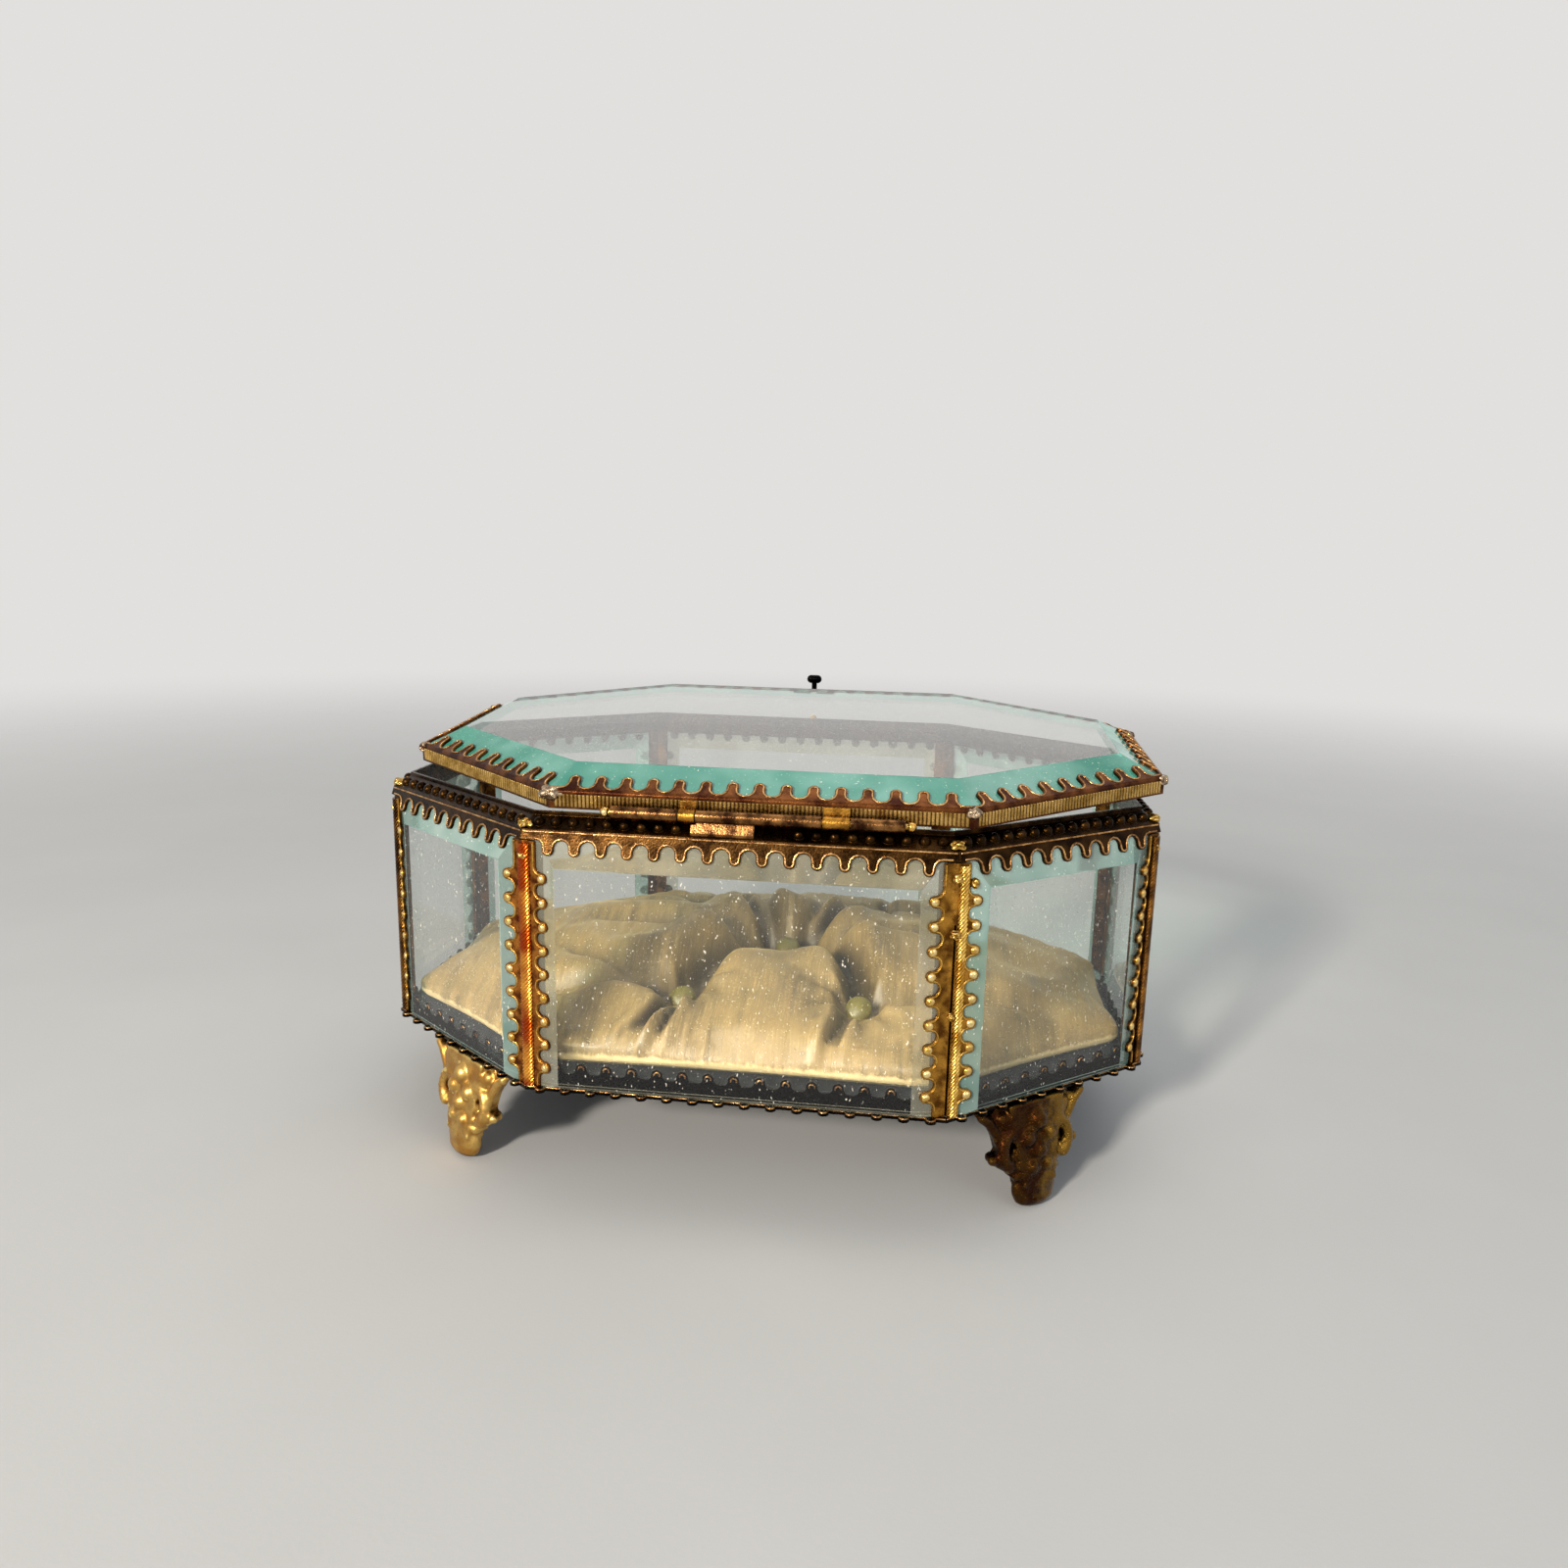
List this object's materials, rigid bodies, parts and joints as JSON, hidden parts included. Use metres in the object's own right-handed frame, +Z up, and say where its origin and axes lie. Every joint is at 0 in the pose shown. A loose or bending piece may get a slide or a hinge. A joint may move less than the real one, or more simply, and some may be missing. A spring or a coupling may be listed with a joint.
{
  "type": "glass casket box",
  "caption": "Elongated octagonal casket of bevelled glass in toothed gilt-brass strips, on leaf feet, with a tufted silk pad and a hinged bevelled glass lid.",
  "frame": {"origin": "on the table under the middle of the box", "axes": "+X along the long sides, to the right seen from the hinge side; +Y from the hinge side to the catch side; +Z up"},
  "size_m": [0.1434, 0.0964, 0.0812],
  "materials": {
    "side_glass": "clear bevelled plate",
    "lid_glass": "clear plate, green edge",
    "post_brass": "embossed, worn gilt",
    "copper_post": "embossed, copper red",
    "rim_brass": "embossed, dark patina",
    "dark_brass": "dark patina",
    "lid_brass": "knurled, worn gilt",
    "bronze": "dark bronze",
    "gilt_brass": "polished gilt",
    "gilt_foot": "cast, bright gilt",
    "dark_foot": "cast, antique bronze",
    "card": "matt",
    "silk": "satin sheen",
    "covered_buttons": "satin, olive"
  },
  "bodies": {
    "case": {"glass_back": "side_glass", "glass_back_right": "side_glass", "glass_right": "side_glass", "glass_front_right": "side_glass", "glass_front": "side_glass", "glass_front_left": "side_glass", "glass_left": "side_glass", "glass_back_left": "side_glass", "post_back_a": "copper_post", "post_back_b": "post_brass", "post_right_a": "post_brass", "post_right_b": "post_brass", "post_front_a": "post_brass", "post_front_b": "post_brass", "post_left_a": "post_brass", "post_left_b": "post_brass", "rim_back": "rim_brass", "rim_back_right": "rim_brass", "rim_right": "rim_brass", "rim_front_right": "rim_brass", "rim_front": "rim_brass", "rim_front_left": "rim_brass", "rim_left": "rim_brass", "rim_back_left": "rim_brass", "sill_back": "dark_brass", "sill_back_right": "dark_brass", "sill_right": "dark_brass", "sill_front_right": "dark_brass", "sill_front": "dark_brass", "sill_front_left": "dark_brass", "sill_left": "dark_brass", "sill_back_left": "dark_brass", "foot_back_right": "dark_foot", "foot_front_right": "dark_foot", "foot_front_left": "dark_foot", "foot_back_left": "gilt_foot", "bottom_sheet": "dark_brass", "lining_card": "card", "silk_pad": "silk", "tuft_buttons": "covered_buttons", "hinge_leaf": "bronze", "hinge_pin": "gilt_brass", "keeper_stud": "gilt_brass"},
    "lid": {"lid_glass": "lid_glass", "lid_knuckles": "gilt_brass", "catch_plate": "bronze", "thumb_piece": "bronze", "lid_strip_back": "lid_brass", "lid_strip_back_right": "lid_brass", "lid_strip_right": "lid_brass", "lid_strip_front_right": "lid_brass", "lid_strip_front": "lid_brass", "lid_strip_front_left": "lid_brass", "lid_strip_left": "lid_brass", "lid_strip_back_left": "lid_brass"}
  },
  "joints": [
    {"name": "lid_hinge", "type": "hinge", "parent": "case", "child": "lid", "pos_m": [0.003, -0.0453, 0.06731], "axis": [1, 0, 0], "range_deg": [-4, 96]}
  ]
}
